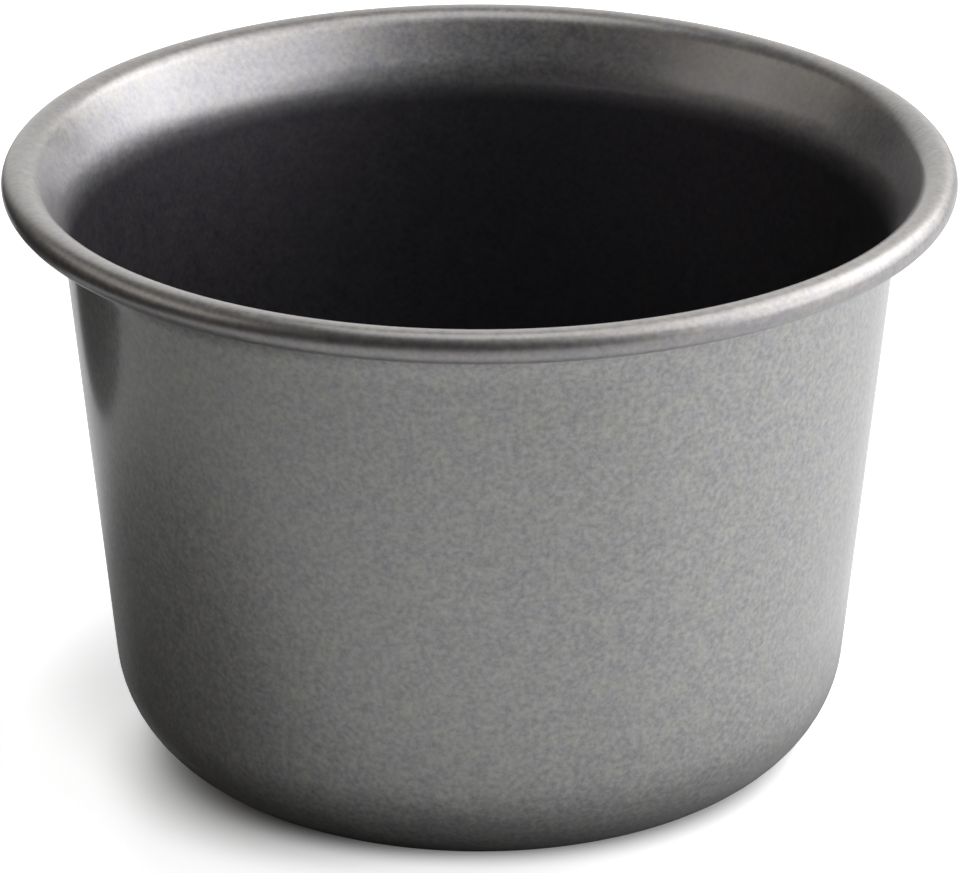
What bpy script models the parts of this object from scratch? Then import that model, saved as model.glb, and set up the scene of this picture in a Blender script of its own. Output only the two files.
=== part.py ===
"""A deep round cake pan, pressed and curled from one round blank of coated steel sheet.

Units are metres, +Z is up, and the origin is the centre of the base's underside.

The pan is one sheet, with no seam, loose base or handle. Its section is drawn along the food side
of that sheet: across the floor, round the corner, up the drafted wall, out through the flare's
soft throat, straight cone and lip to the level crest, and round the hollow bead to the sheet's
raw edge. So one side of the sheet is the inside of the pan and the outside of the bead. The line
is turned about Z, and the sheet's thickness is then laid on its other side.

A lean is the angle of the section's line out of upright: 0 on an upright wall, 90 degrees on the
floor and at the crest.
"""

from math import atan2, cos, hypot, pi, radians, sin, tan

import bpy

SHEET_THICKNESS = 0.0006
HEIGHT = 0.0664
MOUTH_DIAMETER = 0.0862
WALL_DRAFT = radians(5.7)
CORNER_RADIUS = 0.0130
THROAT_RADIUS = 0.0080
FLARE_LEAN = radians(30)
FLARE_LENGTH = 0.0040
LIP_RADIUS = 0.0025
BEAD_DIAMETER = 0.0034
RAW_EDGE_CLEARANCE = 0.0004

TURN_STEPS = 80
CORNER_STEPS = 8
THROAT_STEPS = 4
LIP_STEPS = 4
BEAD_STEPS = 13
MERGE_DISTANCE = 0.00001
CLOSING_STEP = radians(1)
LEAST_BEAD_TURN = radians(180)
MOST_BEAD_TURN = radians(300)

COATING_COLOUR = (0.165, 0.162, 0.158, 1.0)
COATING_ROUGHNESS = 0.42
COATING_METALLIC = 0.75

LEVEL = pi / 2
INNER_CORNER_RADIUS = CORNER_RADIUS - SHEET_THICKNESS
LIP_UNDERSIDE_RADIUS = LIP_RADIUS - SHEET_THICKNESS


def clear_scene():
    for obj in list(bpy.data.objects):
        bpy.data.objects.remove(obj, do_unlink=True)


def spaced(start, end, count):
    """The count + 1 values from start to end, evenly apart."""
    return [start + (end - start) * i / count for i in range(count + 1)]


def bend(start, radius, leans):
    """An arc on from start through these leans; a negative radius bends into the pan."""
    x, z = start
    first = leans[0]
    return [(x + radius * (cos(first) - cos(a)), z + radius * (sin(a) - sin(first))) for a in leans[1:]]


def straight(start, length, lean):
    """The end of a straight stretch from start."""
    return start[0] + length * sin(lean), start[1] + length * cos(lean)


def flare():
    """Foot, throat, cone and lip; the last point is the level crest."""
    throat = spaced(WALL_DRAFT, FLARE_LEAN, THROAT_STEPS)
    lip = spaced(FLARE_LEAN, LEVEL, LIP_STEPS)
    points = [(MOUTH_DIAMETER / 2, 0.0)]
    points += bend(points[-1], THROAT_RADIUS, throat)
    points.append(straight(points[-1], FLARE_LENGTH, FLARE_LEAN))
    points += bend(points[-1], LIP_RADIUS, lip)
    lift = HEIGHT - points[-1][1]
    return [(x, z + lift) for x, z in points]


def corner():
    """The bend from the edge of the flat floor up to the straight wall, which ends at the flare."""
    mouth_x, mouth_z = flare()[0]
    wall_z = SHEET_THICKNESS + INNER_CORNER_RADIUS * (1 - sin(WALL_DRAFT))
    wall_x = mouth_x - (mouth_z - wall_z) * tan(WALL_DRAFT)
    floor_edge = (wall_x - INNER_CORNER_RADIUS * cos(WALL_DRAFT), SHEET_THICKNESS)
    return [floor_edge] + bend(floor_edge, -INNER_CORNER_RADIUS, spaced(LEVEL, WALL_DRAFT, CORNER_STEPS))


def gap_under_flare(point, crest):
    """Distance from a point of the bead to the underside of the flare's lip or cone."""
    x = point[0] - crest[0]
    z = point[1] - crest[1] + LIP_RADIUS
    if atan2(z, -x) > FLARE_LEAN:
        return LIP_UNDERSIDE_RADIUS - hypot(x, z)
    return LIP_UNDERSIDE_RADIUS + x * cos(FLARE_LEAN) - z * sin(FLARE_LEAN)


def bead_turn(crest):
    """How far round the sheet curls: until its raw edge comes close under the flare."""
    turn = LEAST_BEAD_TURN
    while turn < MOST_BEAD_TURN:
        raw_edge = bend(crest, BEAD_DIAMETER / 2, (LEVEL, LEVEL + turn + CLOSING_STEP))[-1]
        if gap_under_flare(raw_edge, crest) < RAW_EDGE_CLEARANCE:
            break
        turn += CLOSING_STEP
    return turn


def section():
    """The food side of the sheet from the middle of the floor to the raw edge."""
    rim = flare()
    crest = rim[-1]
    curl = spaced(LEVEL, LEVEL + bead_turn(crest), BEAD_STEPS)
    return [(0.0, SHEET_THICKNESS)] + corner() + rim + bend(crest, BEAD_DIAMETER / 2, curl)


def coating():
    """Dark grey non-stick enamel with fine metal flake in it."""
    material = bpy.data.materials.new("nonstick_coated_steel")
    material.use_nodes = True
    shader = material.node_tree.nodes["Principled BSDF"]
    shader.inputs["Base Color"].default_value = COATING_COLOUR
    shader.inputs["Roughness"].default_value = COATING_ROUGHNESS
    shader.inputs["Metallic"].default_value = COATING_METALLIC
    material.diffuse_color = COATING_COLOUR
    return material


def pan_shell(collection):
    points = [(x, 0.0, z) for x, z in section()]
    edges = [(i, i + 1) for i in range(len(points) - 1)]
    mesh = bpy.data.meshes.new("pan_shell")
    mesh.from_pydata(points, edges, [])
    mesh.materials.append(coating())
    shell = bpy.data.objects.new("pan_shell", mesh)
    collection.objects.link(shell)

    turned = shell.modifiers.new("turned about the axis", "SCREW")
    turned.axis = "Z"
    turned.steps = TURN_STEPS
    turned.render_steps = TURN_STEPS
    turned.use_merge_vertices = True
    turned.merge_threshold = MERGE_DISTANCE
    turned.use_smooth_shade = True
    turned.use_normal_calculate = True

    sheet = shell.modifiers.new("sheet thickness", "SOLIDIFY")
    sheet.thickness = SHEET_THICKNESS
    sheet.offset = -1.0
    sheet.use_even_offset = True
    sheet.use_quality_normals = True
    return shell


def main():
    clear_scene()
    pan = bpy.data.collections.new("round_cake_pan")
    bpy.context.scene.collection.children.link(pan)
    pan_shell(pan)


if __name__ == "__main__":
    main()
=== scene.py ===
"""A deep round cake pan in its finished look, standing on a pale board in soft studio light.

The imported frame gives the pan's box. Its one CAD node is turned in 80 flat steps, so a finer shell
is raised ring by ring through the same section and shown in its place. One side of its sheet is
the food side, which rolls over the crest and becomes the outside of the bead, and the other is the
wall's outside and the base. Both carry a satin grey coating with fine metal flake.

The file is laid out as an add-on: sizes and looks are properties, and each piece is an operator.
"""

from math import atan2, cos, hypot, pi, radians, sin, tan

import bpy
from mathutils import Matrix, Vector


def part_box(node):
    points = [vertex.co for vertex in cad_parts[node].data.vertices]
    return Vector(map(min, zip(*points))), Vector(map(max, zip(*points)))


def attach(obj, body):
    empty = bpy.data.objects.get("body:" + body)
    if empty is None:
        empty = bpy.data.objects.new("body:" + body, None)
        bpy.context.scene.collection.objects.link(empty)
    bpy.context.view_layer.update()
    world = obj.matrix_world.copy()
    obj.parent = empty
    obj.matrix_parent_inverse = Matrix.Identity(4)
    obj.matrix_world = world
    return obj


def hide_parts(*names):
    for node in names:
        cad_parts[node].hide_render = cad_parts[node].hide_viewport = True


bl_info = {
    "name": "Round Cake Pan",
    "version": (1, 0, 0),
    "blender": (4, 5, 0),
    "location": "3D View > Sidebar > Cake Pan",
    "description": "Raises a deep round cake pan from its section and lights it on a board",
    "category": "Add Mesh",
}

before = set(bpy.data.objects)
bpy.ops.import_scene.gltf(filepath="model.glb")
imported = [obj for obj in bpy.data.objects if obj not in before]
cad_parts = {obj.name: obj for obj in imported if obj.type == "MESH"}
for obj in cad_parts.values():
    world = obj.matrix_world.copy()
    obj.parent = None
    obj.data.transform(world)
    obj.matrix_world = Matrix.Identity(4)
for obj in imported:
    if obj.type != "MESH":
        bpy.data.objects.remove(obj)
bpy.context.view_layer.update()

SHELL_NODE = "pan_shell"
SHELL_BODY = "root"
RIM_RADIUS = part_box(SHELL_NODE)[1].x
PAN_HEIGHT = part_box(SHELL_NODE)[1].z

# The steps of the fine shell, round the pan and along its section

TURN_STEPS = 256
FLOOR_STEPS = 4
CORNER_STEPS = 16
WALL_STEPS = 8
THROAT_STEPS = 8
CONE_STEPS = 3
LIP_STEPS = 10
BEAD_STEPS = 26
CUT_EDGE_ROUNDING = 0.00012
CUT_EDGE_STEPS = 2
SMOOTH_BELOW = radians(40)

# How the bead's curl is closed: by this step, between the least turn and the most

CLOSING_STEP = radians(1)
LEAST_BEAD_TURN = radians(180)
MOST_BEAD_TURN = radians(300)

# The shell's material slots after the food side's, which comes first

OUTSIDE_MATERIAL = 1
CUT_EDGE_MATERIAL = 2

# A Mix node's sockets for colours: its two inputs and its output

MIX_INPUTS = (6, 7)
MIX_OUTPUT = 2

# The noise in the coating, whose values lie evenly round its mean

NOISE_MEAN = 0.5
NOISE_ROUGHNESS = 0.6
FLAKE_DETAIL = 2.0
CLOUD_DETAIL = 1.0
TINT_EDGES = (0.2, 0.8)

# The stage: the middle of the pan, where the camera aims, and the board's edges and height

PAN_MIDDLE = Vector((0.0, 0.0, 0.0321))
VIEW_CENTRE = Vector((0.000047, 0.000495, 0.034496))
BOARD_EDGES = (-0.15, 0.9, -0.9, 0.9)
BOARD_TOP = -0.0001

# Shade on the board that the pan mirrors: its centre, and the distances between which it fades

SHADE_CENTRE = (-0.062, 0.0, 0.0)
SHADE_EDGES = (0.030, 0.070)
BASE_SHADE_CENTRE = (0.0, 0.0, 0.0)
BASE_SHADE_EDGES = (0.034, 0.064)

# Shadows on the board that the camera sees, in the same way

CONTACT_SHADOW_CENTRE = (0.0, 0.0043, 0.0)
CONTACT_SHADOW_EDGES = (0.031, 0.038)
CAST_SHADOW_CENTRE = (-0.015, -0.008, 0.0)
CAST_SHADOW_EDGES = (0.0114, 0.0278)
FAINT_SHADOW_CENTRE = (-0.005, 0.017, 0.0)
FAINT_SHADOW_EDGES = (0.034, 0.048)
FAINT_SHADOW_DEPTH = 0.30

# The white backdrop: the direction of its middle, and the cosines from it to its outer and inner edge

BACKDROP_DIRECTION = (0.0, cos(radians(18)), sin(radians(18)))
BACKDROP_EDGES = (cos(radians(42)), cos(radians(24)))
WHITE = (1.0, 1.0, 1.0, 1.0)

# The black card on the board

FLAG_PLACE = (-0.128, 0.078, 0.0005)
FLAG_RADIUS = 0.043
FLAG_ROUGHNESS = 0.9

# Each softbox's azimuth, elevation, distance, width and height

RIGHT_BACK_PLACE = (radians(120), radians(33), 0.45, 0.30, 0.20)
RIGHT_HIGH_PLACE = (radians(90), radians(50), 0.45, 0.60, 0.30)
RIGHT_LOW_PLACE = (radians(105), radians(12), 0.45, 0.50, 0.18)
RIGHT_MIDDLE_PLACE = (radians(85), radians(22), 0.45, 0.35, 0.15)
RIGHT_FRONT_PLACE = (radians(60), radians(12), 0.45, 0.25, 0.18)
LEFT_FRONT_PLACE = (radians(-75), radians(30), 0.50, 0.25, 0.18)
LEFT_BACK_PLACE = (radians(-105), radians(30), 0.50, 0.25, 0.18)
TOP_PLACE = (0.0, radians(90), 0.50, 0.30, 0.30)


class PanSizes(bpy.types.PropertyGroup):
    """The sizes of the sheet and of its section."""

    height: bpy.props.FloatProperty(
        name="Height",
        description="From the board to the crest of the rim",
        default=PAN_HEIGHT,
        unit="LENGTH",
    )
    rim_radius: bpy.props.FloatProperty(
        name="Rim Radius",
        description="From the axis to the outside of the bead",
        default=RIM_RADIUS,
        unit="LENGTH",
    )
    sheet_thickness: bpy.props.FloatProperty(
        name="Sheet Thickness",
        description="Thickness of the coated steel sheet",
        default=0.0006,
        unit="LENGTH",
    )
    wall_draft: bpy.props.FloatProperty(
        name="Wall Draft",
        description="Lean of the wall out of upright",
        default=radians(5.7),
        subtype="ANGLE",
    )
    corner_radius: bpy.props.FloatProperty(
        name="Corner Radius",
        description="Outside radius of the bend between base and wall",
        default=0.0130,
        unit="LENGTH",
    )
    throat_radius: bpy.props.FloatProperty(
        name="Throat Radius",
        description="Radius of the soft bend in which the wall turns out into the flare",
        default=0.0080,
        unit="LENGTH",
    )
    flare_lean: bpy.props.FloatProperty(
        name="Flare Lean",
        description="Lean of the flare's cone out of upright",
        default=radians(30),
        subtype="ANGLE",
    )
    flare_length: bpy.props.FloatProperty(
        name="Flare Length",
        description="Length of the flare's cone between throat and lip",
        default=0.0040,
        unit="LENGTH",
    )
    lip_radius: bpy.props.FloatProperty(
        name="Lip Radius",
        description="Radius of the bend between the flare's cone and the level crest",
        default=0.0025,
        unit="LENGTH",
    )
    bead_diameter: bpy.props.FloatProperty(
        name="Bead Diameter",
        description="Outside diameter of the hollow curl round the rim",
        default=0.0034,
        unit="LENGTH",
    )
    cut_edge_gap: bpy.props.FloatProperty(
        name="Cut Edge Gap",
        description="Gap that the curled sheet's cut edge leaves under the flare",
        default=0.0004,
        unit="LENGTH",
    )


class CoatLooks(bpy.types.PropertyGroup):
    """The colours, the gloss and the grain of the coating."""

    outside_colour: bpy.props.FloatVectorProperty(
        name="Outside Colour",
        description="Colour of the coating on the wall's outside and the base",
        default=(0.355, 0.354, 0.347),
        subtype="COLOR",
        size=3,
    )
    # Painted shade: the floor and the wall inside the pan get a far darker colour than the same coating on
    # the flare and outside
    inside_painted_shade_colour: bpy.props.FloatVectorProperty(
        name="Inside Colour",
        description="Colour of the coating on the floor and the wall inside the pan",
        default=(0.090, 0.084, 0.094),
        subtype="COLOR",
        size=3,
    )
    flare_colour: bpy.props.FloatVectorProperty(
        name="Flare Colour",
        description="Colour of the coating on the flare and the bead",
        default=(0.340, 0.332, 0.338),
        subtype="COLOR",
        size=3,
    )
    # Painted highlight: a lighter, warmer colour over the crest and the bead, where the rim catches the
    # lamps
    crest_highlight_colour: bpy.props.FloatVectorProperty(
        name="Crest Colour",
        description="Warmer colour where the coating is stretched thin over the crest and the bead",
        default=(0.388, 0.371, 0.359),
        subtype="COLOR",
        size=3,
    )
    cut_edge_colour: bpy.props.FloatVectorProperty(
        name="Cut Edge Colour",
        description="Colour of the bare steel at the sheet's cut edge",
        default=(0.42, 0.40, 0.38),
        subtype="COLOR",
        size=3,
    )
    cut_edge_roughness: bpy.props.FloatProperty(
        name="Cut Edge Roughness",
        description="Roughness of the bare steel at the sheet's cut edge",
        default=0.45,
        subtype="FACTOR",
    )
    metallic: bpy.props.FloatProperty(
        name="Metallic",
        description="How metallic the coating looks",
        default=1.0,
        subtype="FACTOR",
    )
    roughness: bpy.props.FloatProperty(
        name="Roughness",
        description="Roughness of the satin coating",
        default=0.45,
        subtype="FACTOR",
    )
    gloss_weight: bpy.props.FloatProperty(
        name="Gloss Weight",
        description="Share of the clear binder on top of the flake, which gives the grazing gloss",
        default=1.0,
        subtype="FACTOR",
    )
    gloss_roughness: bpy.props.FloatProperty(
        name="Gloss Roughness",
        description="Roughness of the clear binder's surface",
        default=0.15,
        subtype="FACTOR",
    )
    first_tint: bpy.props.FloatVectorProperty(
        name="First Tint",
        description="Faint blue that the coat has in some of its clouds",
        default=(1.0, 1.0, 1.05),
        subtype="COLOR",
        size=3,
    )
    second_tint: bpy.props.FloatVectorProperty(
        name="Second Tint",
        description="Faint yellow that the coat has in the others",
        default=(1.0, 1.0, 0.945),
        subtype="COLOR",
        size=3,
    )
    inside_roughness: bpy.props.FloatProperty(
        name="Inside Roughness",
        description="Roughness of the flake on the floor and the wall inside the pan",
        default=0.55,
        subtype="FACTOR",
    )
    flare_gloss: bpy.props.FloatProperty(
        name="Flare Gloss",
        description="Share of the clear binder on the flare and the bead",
        default=0.5,
        subtype="FACTOR",
    )
    inside_gloss: bpy.props.FloatProperty(
        name="Inside Gloss",
        description="Share of the clear binder on the floor and the wall inside the pan",
        default=0.3,
        subtype="FACTOR",
    )
    flake_size: bpy.props.FloatProperty(
        name="Flake Size",
        description="Width of one speck of the metal flake",
        default=0.0006,
        unit="LENGTH",
    )
    flake_contrast: bpy.props.FloatProperty(
        name="Flake Contrast",
        description="How much lighter or darker a speck is than the coating round it",
        default=1.1,
        min=0.0,
    )
    food_side_contrast: bpy.props.FloatProperty(
        name="Food Side Contrast",
        description="The same for the inside, the flare and the bead, where the flake shows less",
        default=0.65,
        min=0.0,
    )
    cloud_size: bpy.props.FloatProperty(
        name="Cloud Size",
        description="Width of one soft cloud in the flake",
        default=0.002,
        unit="LENGTH",
    )
    cloud_contrast: bpy.props.FloatProperty(
        name="Cloud Contrast",
        description="How much lighter or darker a cloud is than the coating round it",
        default=0.30,
        min=0.0,
    )
    roughness_share: bpy.props.FloatProperty(
        name="Roughness Share",
        description="How far the roughness follows the light and dark of the flake",
        default=0.4,
        subtype="FACTOR",
    )
    grain_strength: bpy.props.FloatProperty(
        name="Grain Strength",
        description="Strength of the bump that the flake gives the surface",
        default=0.25,
        subtype="FACTOR",
    )
    grain_depth: bpy.props.FloatProperty(
        name="Grain Depth",
        description="Depth of that bump",
        default=0.00002,
        unit="LENGTH",
        precision=5,
    )


class StageLooks(bpy.types.PropertyGroup):
    """The board, the black card, the softboxes, the room and the camera."""

    board_colour: bpy.props.FloatVectorProperty(
        name="Board Colour",
        description="Colour of the board that the pan stands on",
        default=(0.80, 0.80, 0.80),
        subtype="COLOR",
        size=3,
    )
    shade_colour: bpy.props.FloatVectorProperty(
        name="Shade Colour",
        description="Colour that the pan mirrors where the board lies in the pan's own shade",
        default=(0.30, 0.30, 0.30),
        subtype="COLOR",
        size=3,
    )
    board_roughness: bpy.props.FloatProperty(
        name="Board Roughness",
        description="Roughness of the board",
        default=0.35,
        subtype="FACTOR",
    )
    flag_colour: bpy.props.FloatVectorProperty(
        name="Flag Colour",
        description="Colour of the black card beside the board",
        default=(0.02, 0.02, 0.02),
        subtype="COLOR",
        size=3,
    )
    board_lift: bpy.props.FloatProperty(
        name="Board Lift",
        description="What is added to the board for the camera alone, so that it is white where lit",
        default=0.8,
        min=0.0,
    )
    mirrored_lift: bpy.props.FloatProperty(
        name="Mirrored Lift",
        description="What is added to the board for what the pan mirrors, clear of the pan's shade",
        default=0.15,
        min=0.0,
    )
    right_light_colour: bpy.props.FloatVectorProperty(
        name="Right Light Colour",
        description="Colour of the softboxes on the right and overhead",
        default=(0.98, 0.98, 1.0),
        subtype="COLOR",
        size=3,
    )
    left_light_colour: bpy.props.FloatVectorProperty(
        name="Left Light Colour",
        description="Colour of the softboxes on the left",
        default=(1.0, 0.955, 0.90),
        subtype="COLOR",
        size=3,
    )
    right_back_brightness: bpy.props.FloatProperty(
        name="Right Back Brightness",
        description="Brightness of the softbox behind the pan on the right",
        default=2.45,
        min=0.0,
    )
    right_high_brightness: bpy.props.FloatProperty(
        name="Right High Brightness",
        description="Brightness of the wide softbox high on the right",
        default=2.1,
        min=0.0,
    )
    right_low_brightness: bpy.props.FloatProperty(
        name="Right Low Brightness",
        description="Brightness of the long softbox low on the right",
        default=1.65,
        min=0.0,
    )
    right_middle_brightness: bpy.props.FloatProperty(
        name="Right Middle Brightness",
        description="Brightness of the softbox half-way up on the right",
        default=1.8,
        min=0.0,
    )
    right_front_brightness: bpy.props.FloatProperty(
        name="Right Front Brightness",
        description="Brightness of the softbox in front on the right",
        default=1.55,
        min=0.0,
    )
    left_front_brightness: bpy.props.FloatProperty(
        name="Left Front Brightness",
        description="Brightness of the softbox in front on the left",
        default=1.0,
        min=0.0,
    )
    left_back_brightness: bpy.props.FloatProperty(
        name="Left Back Brightness",
        description="Brightness of the softbox behind the pan on the left",
        default=0.68,
        min=0.0,
    )
    top_brightness: bpy.props.FloatProperty(
        name="Top Brightness",
        description="Brightness of the softbox overhead",
        default=1.65,
        min=0.0,
    )
    room_colour: bpy.props.FloatVectorProperty(
        name="Room Colour",
        description="Colour of the dim room that the pan mirrors",
        default=(1.0, 0.98, 0.95),
        subtype="COLOR",
        size=3,
    )
    room_brightness: bpy.props.FloatProperty(
        name="Room Brightness",
        description="Brightness of the dim room that the pan mirrors",
        default=0.02,
        min=0.0,
    )
    view_height: bpy.props.FloatProperty(
        name="View Height",
        description="Angle of the camera above the horizon",
        default=radians(23.2),
        subtype="ANGLE",
    )
    view_distance: bpy.props.FloatProperty(
        name="View Distance",
        description="Distance from the camera to the middle of the pan",
        default=0.7,
        unit="LENGTH",
    )
    focal_length: bpy.props.FloatProperty(
        name="Focal Length",
        description="Focal length of the camera, in millimetres",
        default=246.2,
    )


# The section of the sheet, along its food side, in the plane of X and Z


def spaced(start, end, count):
    """The count + 1 values from start to end, evenly apart."""
    return [start + (end - start) * i / count for i in range(count + 1)]


def bend(start, radius, leans):
    """An arc from start through these leans out of upright; a negative radius bends inwards."""
    x, z, first = *start, leans[0]
    return [(x + radius * (cos(first) - cos(a)), z + radius * (sin(a) - sin(first))) for a in leans[1:]]


def straight(start, length, lean, count):
    """The points of a straight stretch from start, without start itself."""
    x, z = start
    return [(x + part * sin(lean), z + part * cos(lean)) for part in spaced(0.0, length, count)[1:]]


def crest(sizes):
    """Radius and height of the level crest."""
    return sizes.rim_radius - sizes.bead_diameter / 2, sizes.height


def flare_size(sizes):
    """Reach and height of the flare from its foot on the wall to the level crest."""
    draft, lean = sizes.wall_draft, sizes.flare_lean
    reach = sizes.throat_radius * (cos(draft) - cos(lean)) + sizes.flare_length * sin(lean)
    height = sizes.throat_radius * (sin(lean) - sin(draft)) + sizes.flare_length * cos(lean)
    return reach + sizes.lip_radius * cos(lean), height + sizes.lip_radius * (1 - sin(lean))


def flare_points(sizes):
    """Throat, cone and lip, from the flare's foot to the crest."""
    reach, height = flare_size(sizes)
    crest_x, crest_z = crest(sizes)
    points = [(crest_x - reach, crest_z - height)]
    points += bend(points[-1], sizes.throat_radius, spaced(sizes.wall_draft, sizes.flare_lean, THROAT_STEPS))
    points += straight(points[-1], sizes.flare_length, sizes.flare_lean, CONE_STEPS)
    points += bend(points[-1], sizes.lip_radius, spaced(sizes.flare_lean, pi / 2, LIP_STEPS))
    return points


def wall_points(sizes):
    """The bend at the corner and the straight wall, up to the flare's foot but without it."""
    draft = sizes.wall_draft
    inner_bend = sizes.corner_radius - sizes.sheet_thickness
    foot_x, foot_z = flare_points(sizes)[0]
    wall_height = foot_z - sizes.sheet_thickness - inner_bend * (1 - sin(draft))
    floor_edge = (foot_x - wall_height * tan(draft) - inner_bend * cos(draft), sizes.sheet_thickness)
    points = [floor_edge] + bend(floor_edge, -inner_bend, spaced(pi / 2, draft, CORNER_STEPS))
    return points + straight(points[-1], wall_height / cos(draft), draft, WALL_STEPS)[:-1]


def gap_under_flare(sizes, point):
    """Distance from a point of the bead to the underside of the flare's cone and lip."""
    lean = sizes.flare_lean
    crest_x, crest_z = crest(sizes)
    x, z = point[0] - crest_x, point[1] - crest_z + sizes.lip_radius
    if atan2(z, -x) > lean:
        return sizes.lip_radius - sizes.sheet_thickness - hypot(x, z)
    return sizes.lip_radius - sizes.sheet_thickness + x * cos(lean) - z * sin(lean)


def bead_points(sizes):
    """The curl after the crest, until the sheet's cut edge comes close under the flare."""
    radius = sizes.bead_diameter / 2
    turn = LEAST_BEAD_TURN
    while turn < MOST_BEAD_TURN:
        edge = bend(crest(sizes), radius, (pi / 2, pi / 2 + turn + CLOSING_STEP))[-1]
        if gap_under_flare(sizes, edge) < sizes.cut_edge_gap:
            break
        turn += CLOSING_STEP
    return bend(crest(sizes), radius, spaced(pi / 2, pi / 2 + turn, BEAD_STEPS))


def section_rings(sizes):
    """Radius and height of each ring of the shell, from the edge of the flat floor to the cut edge."""
    return wall_points(sizes) + flare_points(sizes) + bead_points(sizes)


# Shader nodes


def node_group(name, inputs, outputs):
    """An empty shader node group with its named sockets, which all carry numbers."""
    group = bpy.data.node_groups.new(name, "ShaderNodeTree")
    for sockets, side in ((inputs, "INPUT"), (outputs, "OUTPUT")):
        for socket in sockets:
            group.interface.new_socket(name=socket, in_out=side, socket_type="NodeSocketFloat")
    return group


def feed(tree, socket, value):
    """Gives an input a value, or the output of another node."""
    if isinstance(value, bpy.types.NodeSocket):
        tree.links.new(value, socket)
    else:
        socket.default_value = value


def add_node(tree, kind, label, inputs=None, **settings):
    """A labelled node; an input is given by name or number, as a value or as a socket to link."""
    node = tree.nodes.new(kind)
    node.label = label
    for name, value in settings.items():
        setattr(node, name, value)
    for name, value in (inputs or {}).items():
        feed(tree, node.inputs[name], value)
    return node


def calculate(tree, label, operation, first, second=0.0, third=0.0, clamp=False):
    """The output of a Math node."""
    values = {0: first, 1: second, 2: third}
    return add_node(tree, "ShaderNodeMath", label, values, operation=operation, use_clamp=clamp).outputs[0]


def mix_colours(tree, label, share, first, second, blend="MIX"):
    """The output of a Mix Color node; a colour is three numbers or a socket."""
    node = add_node(tree, "ShaderNodeMix", label, {0: share}, data_type="RGBA", blend_type=blend)
    for number, colour in zip(MIX_INPUTS, (first, second)):
        if not isinstance(colour, bpy.types.NodeSocket):
            colour = (*colour, 1.0)
        feed(tree, node.inputs[number], colour)
    return node.outputs[MIX_OUTPUT]


def ramp(tree, label, value, low, high):
    """0 below low, 1 above high and a smooth rise between them."""
    values = {"Value": value, "From Min": low, "From Max": high}
    node = add_node(tree, "ShaderNodeMapRange", label, values, interpolation_type="SMOOTHSTEP")
    return node.outputs["Result"]


def noise(tree, label, place, size, detail):
    """Noise whose blotches are about as wide as size, in metres."""
    scale = calculate(tree, label + " per metre", "DIVIDE", 1.0, size)
    values = {"Vector": place, "Scale": scale, "Detail": detail, "Roughness": NOISE_ROUGHNESS}
    return add_node(tree, "ShaderNodeTexNoise", label, values).outputs["Fac"]


def metal_flake_group():
    """Metal flake in satin enamel: light and dark specks, in soft clouds of two faint tints."""
    group = node_group(
        "metal_flake",
        ["Flake Size", "Flake Contrast", "Cloud Size", "Cloud Contrast"],
        ["Shade", "Grain", "Tint"],
    )
    given = group.nodes.new("NodeGroupInput").outputs
    place = group.nodes.new("ShaderNodeTexCoord").outputs["Object"]
    fine = noise(group, "flake", place, given["Flake Size"], FLAKE_DETAIL)
    cloud = noise(group, "cloud", place, given["Cloud Size"], CLOUD_DETAIL)
    tint_cloud = noise(group, "tint cloud", place, given["Cloud Size"], FLAKE_DETAIL)
    fine_step = calculate(group, "flake from the mean", "SUBTRACT", fine, NOISE_MEAN)
    cloud_step = calculate(group, "cloud from the mean", "SUBTRACT", cloud, NOISE_MEAN)
    cloud_shade = calculate(group, "cloud shade", "MULTIPLY_ADD", cloud_step, given["Cloud Contrast"], 1.0)
    shade = calculate(group, "shade", "MULTIPLY_ADD", fine_step, given["Flake Contrast"], cloud_shade)
    tint = ramp(group, "tint", tint_cloud, *TINT_EDGES)
    result = group.nodes.new("NodeGroupOutput").inputs
    group.links.new(shade, result["Shade"])
    group.links.new(fine, result["Grain"])
    group.links.new(tint, result["Tint"])
    return group


# Materials


def new_material(name, colour):
    """A material, its tree and its Principled shader."""
    material = bpy.data.materials.new(name)
    material.use_nodes = True
    material.diffuse_color = (*colour, 1.0)
    return material, material.node_tree, material.node_tree.nodes["Principled BSDF"]


def flaked_coat(tree, shader, colour, roughness, gloss, contrast, looks, flake):
    """Gives a shader the satin grey coat with its flake; colour, roughness and gloss may be sockets."""
    values = {
        "Flake Size": looks.flake_size,
        "Flake Contrast": contrast,
        "Cloud Size": looks.cloud_size,
        "Cloud Contrast": looks.cloud_contrast,
    }
    specks = add_node(tree, "ShaderNodeGroup", "metal flake", values, node_tree=flake).outputs
    tint = mix_colours(tree, "tints", specks["Tint"], looks.first_tint, looks.second_tint)
    coat = mix_colours(tree, "coat with flake", 1.0, colour, specks["Shade"], "MULTIPLY")
    coat = mix_colours(tree, "coat with tints", 1.0, coat, tint, "MULTIPLY")
    share = looks.roughness_share
    softer = calculate(tree, "shade, softer", "MULTIPLY_ADD", specks["Shade"], share, 1.0 - share)
    rough = calculate(tree, "roughness", "MULTIPLY", softer, roughness)
    values = {"Strength": looks.grain_strength, "Distance": looks.grain_depth, "Height": specks["Grain"]}
    bump = add_node(tree, "ShaderNodeBump", "grain", values)
    feed(tree, shader.inputs["Base Color"], coat)
    feed(tree, shader.inputs["Roughness"], rough)
    feed(tree, shader.inputs["Normal"], bump.outputs["Normal"])
    feed(tree, shader.inputs["Metallic"], looks.metallic)
    feed(tree, shader.inputs["Coat Weight"], gloss)
    feed(tree, shader.inputs["Coat Roughness"], looks.gloss_roughness)


def outside_coat(looks, flake):
    """The coating on the wall's outside, the corner and the base."""
    material, tree, shader = new_material("satin_grey_coat_outside", looks.outside_colour)
    colour, roughness, gloss = looks.outside_colour, looks.roughness, looks.gloss_weight
    flaked_coat(tree, shader, colour, roughness, gloss, looks.flake_contrast, looks, flake)
    return material


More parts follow.
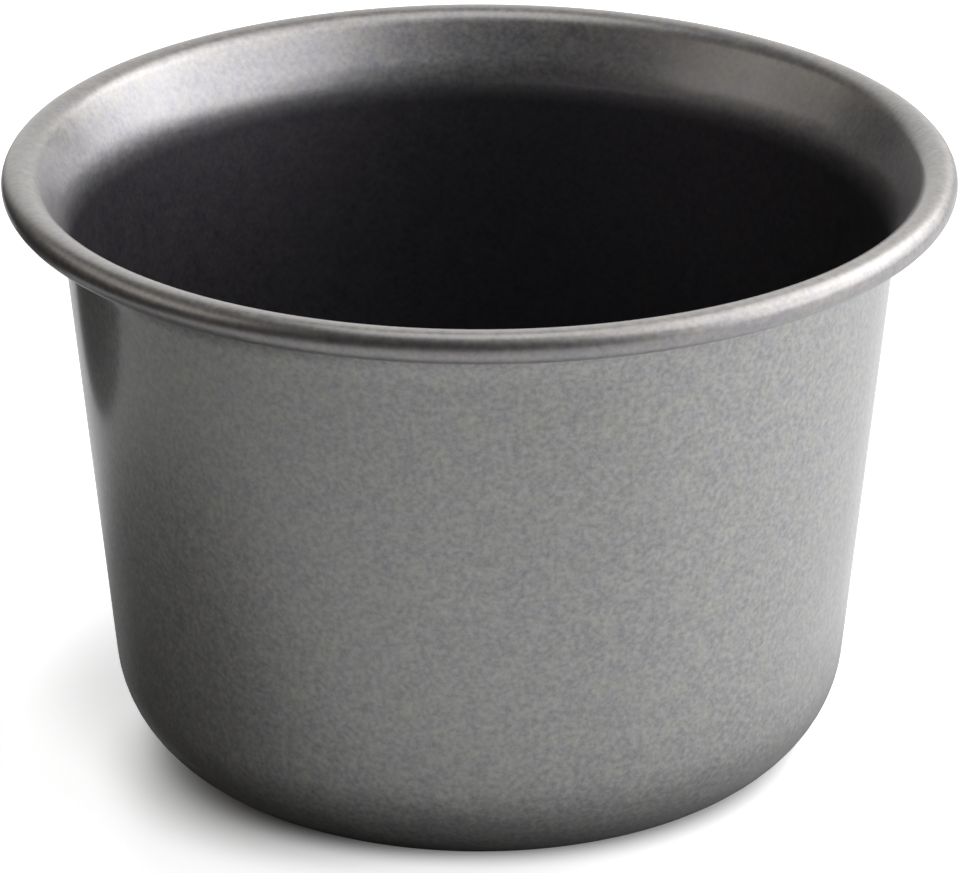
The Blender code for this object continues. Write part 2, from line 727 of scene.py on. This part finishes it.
def food_side_coat(looks, sizes, flake):
    """The coating inside the pan and over its rim, with painted shade that darkens the floor and the wall
    inside and a painted highlight that lightens and warms the crest and the bead.
    """
    material, tree, shader = new_material("satin_grey_coat_food_side", looks.inside_painted_shade_colour)
    place = tree.nodes.new("ShaderNodeTexCoord").outputs["Object"]
    height = add_node(tree, "ShaderNodeSeparateXYZ", "height", {0: place}).outputs["Z"]
    foot, half_bead = flare_points(sizes)[0][1], sizes.bead_diameter / 2
    # Painted shade: below the flare's foot the coating takes the darker inside colour
    on_flare = ramp(tree, "flare and rim", height, foot - half_bead, foot + half_bead)
    # Painted highlight over the crest and the bead
    crest_highlight_mask = ramp(tree, "crest and bead", height, sizes.height - sizes.bead_diameter, sizes.height)
    colour = mix_colours(tree, "painted inside shade or flare", on_flare, looks.inside_painted_shade_colour, looks.flare_colour)
    colour = mix_colours(tree, "painted highlight over the crest", crest_highlight_mask, colour, looks.crest_highlight_colour)
    rough, smooth = looks.inside_roughness, looks.roughness
    roughness = calculate(tree, "smoother flare", "MULTIPLY_ADD", on_flare, smooth - rough, rough)
    dull, glossy = looks.inside_gloss, looks.flare_gloss
    gloss = calculate(tree, "glossier flare", "MULTIPLY_ADD", on_flare, glossy - dull, dull)
    flaked_coat(tree, shader, colour, roughness, gloss, looks.food_side_contrast, looks, flake)
    return material


def bare_cut_edge(looks):
    """Bare steel where the sheet was sheared."""
    material, tree, shader = new_material("bare_steel_cut_edge", looks.cut_edge_colour)
    feed(tree, shader.inputs["Base Color"], (*looks.cut_edge_colour, 1.0))
    feed(tree, shader.inputs["Metallic"], 1.0)
    feed(tree, shader.inputs["Roughness"], looks.cut_edge_roughness)
    return material


# Modelling steps


def deselect_all():
    """Leaves edit mode, with nothing selected."""
    if bpy.context.object and bpy.context.object.mode != "OBJECT":
        bpy.ops.object.mode_set(mode="OBJECT")
    bpy.ops.object.select_all(action="DESELECT")


def raise_rings(rings):
    """Extrudes the selected ring through the rings' radii and heights, in edit mode."""
    for (radius, height), (next_radius, next_height) in zip(rings, rings[1:]):
        growth = next_radius / radius
        bpy.ops.mesh.extrude_region_move()
        bpy.ops.transform.resize(value=(growth, growth, 1.0), center_override=(0.0, 0.0, 0.0))
        bpy.ops.transform.translate(value=(0.0, 0.0, next_height - height))


def flat_floor(radius, height):
    """A filled disc with rings across it, and its outer ring selected, in edit mode."""
    rings = [(radius * i / FLOOR_STEPS, height) for i in range(1, FLOOR_STEPS + 1)]
    bpy.ops.mesh.primitive_circle_add(
        vertices=TURN_STEPS, radius=rings[0][0], fill_type="TRIFAN", location=(0.0, 0.0, height)
    )
    bpy.ops.object.transform_apply(location=True, rotation=True, scale=True)
    bpy.ops.object.mode_set(mode="EDIT")
    bpy.ops.mesh.select_mode(type="EDGE")
    bpy.ops.mesh.select_all(action="SELECT")
    bpy.ops.mesh.region_to_loop()
    raise_rings(rings)
    return bpy.context.object


def thicken_sheet(shell, thickness):
    """Lays the sheet's thickness on the side away from the food, with its own two materials."""
    sheet = shell.modifiers.new("sheet thickness", "SOLIDIFY")
    sheet.thickness = thickness
    sheet.offset = -1.0
    sheet.use_even_offset = True
    sheet.use_quality_normals = True
    sheet.material_offset = OUTSIDE_MATERIAL
    sheet.material_offset_rim = CUT_EDGE_MATERIAL
    bpy.ops.object.modifier_apply(modifier=sheet.name)


def round_cut_edge(shell):
    """Takes the sharpness off both rims of the sheet's cut edge, as coating and handling do."""
    bpy.ops.object.mode_set(mode="EDIT")
    bpy.ops.mesh.select_mode(type="FACE")
    bpy.ops.mesh.select_all(action="DESELECT")
    bpy.ops.object.mode_set(mode="OBJECT")
    for face in shell.data.polygons:
        face.select = face.material_index == CUT_EDGE_MATERIAL
    bpy.ops.object.mode_set(mode="EDIT")
    bpy.ops.mesh.region_to_loop()
    bpy.ops.mesh.bevel(offset=CUT_EDGE_ROUNDING, segments=CUT_EDGE_STEPS, affect="EDGES")
    bpy.ops.object.mode_set(mode="OBJECT")


# The stage


def softbox(name, azimuth, elevation, distance, width, height, brightness, colour):
    """An area lamp aimed at the pan; its brightness is the same at any size.

    The azimuth runs from the camera's side round to the right.
    """
    direction = Vector((sin(azimuth) * cos(elevation), -cos(azimuth) * cos(elevation), sin(elevation)))
    lamp = bpy.data.lights.new(name, "AREA")
    lamp.shape = "RECTANGLE"
    lamp.size = width
    lamp.size_y = height
    lamp.energy = brightness * width * height * pi
    lamp.color = colour
    box = bpy.data.objects.new(name, lamp)
    box.location = PAN_MIDDLE + direction * distance
    box.rotation_euler = (-direction).to_track_quat("-Z", "Y").to_euler()
    box.visible_camera = False
    bpy.context.scene.collection.objects.link(box)


def background_rays(tree):
    """The camera's own rays, and those that gloss or glass sends on."""
    path = tree.nodes.new("ShaderNodeLightPath").outputs
    glossy, through = path["Is Glossy Ray"], path["Is Transmission Ray"]
    mirrored = calculate(tree, "mirrored or seen through", "ADD", glossy, through, clamp=True)
    return path["Is Camera Ray"], mirrored


def distance_from(tree, label, place, centre):
    """The distance of a place from a centre."""
    node = add_node(tree, "ShaderNodeVectorMath", label, {0: place, 1: centre}, operation="DISTANCE")
    return node.outputs["Value"]


def clear_of_shade(tree, place):
    """1 where the board is clear of the shade that the pan mirrors, and 0 well inside it."""
    from_shade = distance_from(tree, "distance from the shade", place, SHADE_CENTRE)
    from_base = distance_from(tree, "distance from the base", place, BASE_SHADE_CENTRE)
    clear = ramp(tree, "clear of the shade", from_shade, *SHADE_EDGES)
    outside = ramp(tree, "clear of the base", from_base, *BASE_SHADE_EDGES)
    return calculate(tree, "clear of both", "MULTIPLY", clear, outside)


def clear_of_shadows(tree, place):
    """1 where the board is clear of the shadows that the camera sees, and less inside them."""
    light = 1.0
    for name, centre, edges, depth in (
        ("contact shadow", CONTACT_SHADOW_CENTRE, CONTACT_SHADOW_EDGES, 1.0),
        ("cast shadow", CAST_SHADOW_CENTRE, CAST_SHADOW_EDGES, 1.0),
        ("faint shadow", FAINT_SHADOW_CENTRE, FAINT_SHADOW_EDGES, FAINT_SHADOW_DEPTH),
    ):
        distance = distance_from(tree, "distance from the " + name, place, centre)
        clear = ramp(tree, "clear of the " + name, distance, *edges)
        left = calculate(tree, "light in the " + name, "MULTIPLY_ADD", clear, depth, 1.0 - depth)
        light = calculate(tree, "light past the " + name, "MULTIPLY", left, light)
    return light


def board_plane():
    """The board's plane, a hair under the pan's base so that the two don't coincide."""
    left, right, front, back = BOARD_EDGES
    middle = ((left + right) / 2, (front + back) / 2, BOARD_TOP)
    bpy.ops.mesh.primitive_plane_add(size=1.0, location=middle)
    board = bpy.context.object
    board.name = "pale_board"
    board.scale = (right - left, back - front, 1.0)
    bpy.ops.object.transform_apply(location=True, rotation=True, scale=True)
    return board


def pale_board(looks):
    """The board: plain and lifted to white for the camera, shaded by the pan for what the pan mirrors."""
    board = board_plane()
    material, tree, shader = new_material("pale_board", looks.board_colour)
    seen, mirrored = background_rays(tree)
    place = tree.nodes.new("ShaderNodeTexCoord").outputs["Object"]
    clear = clear_of_shade(tree, place)
    colour = mix_colours(tree, "dark in the shade", clear, looks.shade_colour, looks.board_colour)
    colour = mix_colours(tree, "plain for the camera", seen, colour, looks.board_colour)
    lit = calculate(tree, "lit for the camera", "MULTIPLY", clear_of_shadows(tree, place), seen)
    lift = calculate(tree, "lift for the camera", "MULTIPLY", lit, looks.board_lift)
    gleam = calculate(tree, "clear of the shade in the gloss", "MULTIPLY", clear, mirrored)
    gleam = calculate(tree, "lift in the gloss", "MULTIPLY", gleam, looks.mirrored_lift)
    strength = calculate(tree, "lift for both", "ADD", lift, gleam)
    feed(tree, shader.inputs["Base Color"], colour)
    feed(tree, shader.inputs["Roughness"], looks.board_roughness)
    feed(tree, shader.inputs["Emission Color"], WHITE)
    feed(tree, shader.inputs["Emission Strength"], strength)
    material.cycles.emission_sampling = "NONE"
    board.data.materials.append(material)


def black_flag(looks):
    """A black card that lies on the board at the back left and darkens the pan's left edge."""
    bpy.ops.mesh.primitive_circle_add(radius=FLAG_RADIUS, fill_type="NGON", location=FLAG_PLACE)
    flag = bpy.context.object
    flag.name = "black_flag"
    flag.visible_camera = False
    flag.visible_shadow = False
    material, tree, shader = new_material("black_card", looks.flag_colour)
    feed(tree, shader.inputs["Base Color"], (*looks.flag_colour, 1.0))
    feed(tree, shader.inputs["Roughness"], FLAG_ROUGHNESS)
    flag.data.materials.append(material)


def dim_room(looks):
    """A dim room, and a white backdrop that the camera sees everywhere and the pan mirrors in its place."""
    world = bpy.data.worlds.new("dim_room")
    bpy.context.scene.world = world
    world.use_nodes = True
    tree = world.node_tree
    room = tree.nodes["Background"]
    feed(tree, room.inputs["Color"], (*looks.room_colour, 1.0))
    feed(tree, room.inputs["Strength"], looks.room_brightness)
    white = add_node(tree, "ShaderNodeBackground", "white backdrop", {"Color": WHITE})
    seen, mirrored = background_rays(tree)
    direction = tree.nodes.new("ShaderNodeTexCoord").outputs["Generated"]
    values = {0: direction, 1: BACKDROP_DIRECTION}
    towards = add_node(tree, "ShaderNodeVectorMath", "towards the backdrop", values, operation="DOT_PRODUCT")
    behind = ramp(tree, "on the backdrop", towards.outputs["Value"], *BACKDROP_EDGES)
    gleam = calculate(tree, "backdrop in the gloss", "MULTIPLY", behind, mirrored)
    shown = calculate(tree, "backdrop for both", "MAXIMUM", seen, gleam)
    values = {0: shown, 1: room.outputs[0], 2: white.outputs[0]}
    both = add_node(tree, "ShaderNodeMixShader", "backdrop or room", values)
    tree.links.new(both.outputs[0], tree.nodes["World Output"].inputs["Surface"])
    world.cycles.sampling_method = "NONE"


def stage_camera(looks):
    """The camera in front of the pan and above it."""
    lens = bpy.data.cameras.new("camera")
    lens.lens = looks.focal_length
    camera = bpy.data.objects.new("camera", lens)
    back = Vector((0.0, -cos(looks.view_height), sin(looks.view_height)))
    camera.location = PAN_MIDDLE + back * looks.view_distance
    camera.rotation_euler = (VIEW_CENTRE - camera.location).to_track_quat("-Z", "Y").to_euler()
    bpy.context.scene.collection.objects.link(camera)
    bpy.context.scene.camera = camera


# Operators


class CAKEPAN_OT_pan_shell(bpy.types.Operator):
    """Raise the pan's one sheet from base to bead and coat it"""

    bl_idname = "cakepan.pan_shell"
    bl_label = "Pan Shell"
    bl_options = {"REGISTER", "UNDO"}

    def execute(self, context):
        sizes = context.scene.cakepan_sizes
        looks = context.scene.cakepan_coat
        rings = section_rings(sizes)
        deselect_all()
        shell = flat_floor(*rings[0])
        raise_rings(rings)
        bpy.ops.object.mode_set(mode="OBJECT")
        shell.name = "pan_shell_fine"
        flake = metal_flake_group()
        shell.data.materials.append(food_side_coat(looks, sizes, flake))
        shell.data.materials.append(outside_coat(looks, flake))
        shell.data.materials.append(bare_cut_edge(looks))
        thicken_sheet(shell, sizes.sheet_thickness)
        round_cut_edge(shell)
        bpy.ops.object.shade_smooth_by_angle(angle=SMOOTH_BELOW)
        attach(shell, SHELL_BODY)
        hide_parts(SHELL_NODE)
        return {"FINISHED"}


class CAKEPAN_OT_stage(bpy.types.Operator):
    """Set up the board, the black card, the softboxes, the dim room and the camera"""

    bl_idname = "cakepan.stage"
    bl_label = "Stage"
    bl_options = {"REGISTER", "UNDO"}

    def execute(self, context):
        looks = context.scene.cakepan_stage
        deselect_all()
        pale_board(looks)
        black_flag(looks)
        right, left = looks.right_light_colour, looks.left_light_colour
        for name, place, brightness, colour in (
            ("right_back_softbox", RIGHT_BACK_PLACE, looks.right_back_brightness, right),
            ("right_high_softbox", RIGHT_HIGH_PLACE, looks.right_high_brightness, right),
            ("right_low_softbox", RIGHT_LOW_PLACE, looks.right_low_brightness, right),
            ("right_middle_softbox", RIGHT_MIDDLE_PLACE, looks.right_middle_brightness, right),
            ("right_front_softbox", RIGHT_FRONT_PLACE, looks.right_front_brightness, right),
            ("top_softbox", TOP_PLACE, looks.top_brightness, right),
            ("left_front_softbox", LEFT_FRONT_PLACE, looks.left_front_brightness, left),
            ("left_back_softbox", LEFT_BACK_PLACE, looks.left_back_brightness, left),
        ):
            softbox(name, *place, brightness, colour)
        dim_room(looks)
        stage_camera(looks)
        context.scene.view_settings.view_transform = "Standard"
        return {"FINISHED"}


class CAKEPAN_PT_cake_pan(bpy.types.Panel):
    """The pan's sizes and looks, and the operators that make it"""

    bl_idname = "CAKEPAN_PT_cake_pan"
    bl_label = "Round Cake Pan"
    bl_space_type = "VIEW_3D"
    bl_region_type = "UI"
    bl_category = "Cake Pan"

    def draw(self, context):
        for settings, operator in (
            (context.scene.cakepan_sizes, None),
            (context.scene.cakepan_coat, CAKEPAN_OT_pan_shell),
            (context.scene.cakepan_stage, CAKEPAN_OT_stage),
        ):
            column = self.layout.column()
            for name in settings.bl_rna.properties.keys():
                if name not in ("rna_type", "name"):
                    column.prop(settings, name)
            if operator:
                column.operator(operator.bl_idname)


CLASSES = (
    PanSizes,
    CoatLooks,
    StageLooks,
    CAKEPAN_OT_pan_shell,
    CAKEPAN_OT_stage,
    CAKEPAN_PT_cake_pan,
)


def register():
    for kind in CLASSES:
        bpy.utils.register_class(kind)
    bpy.types.Scene.cakepan_sizes = bpy.props.PointerProperty(type=PanSizes)
    bpy.types.Scene.cakepan_coat = bpy.props.PointerProperty(type=CoatLooks)
    bpy.types.Scene.cakepan_stage = bpy.props.PointerProperty(type=StageLooks)


def unregister():
    del bpy.types.Scene.cakepan_stage
    del bpy.types.Scene.cakepan_coat
    del bpy.types.Scene.cakepan_sizes
    for kind in reversed(CLASSES):
        bpy.utils.unregister_class(kind)


def main():
    register()
    bpy.ops.cakepan.pan_shell()
    bpy.ops.cakepan.stage()


if __name__ == "__main__":
    main()
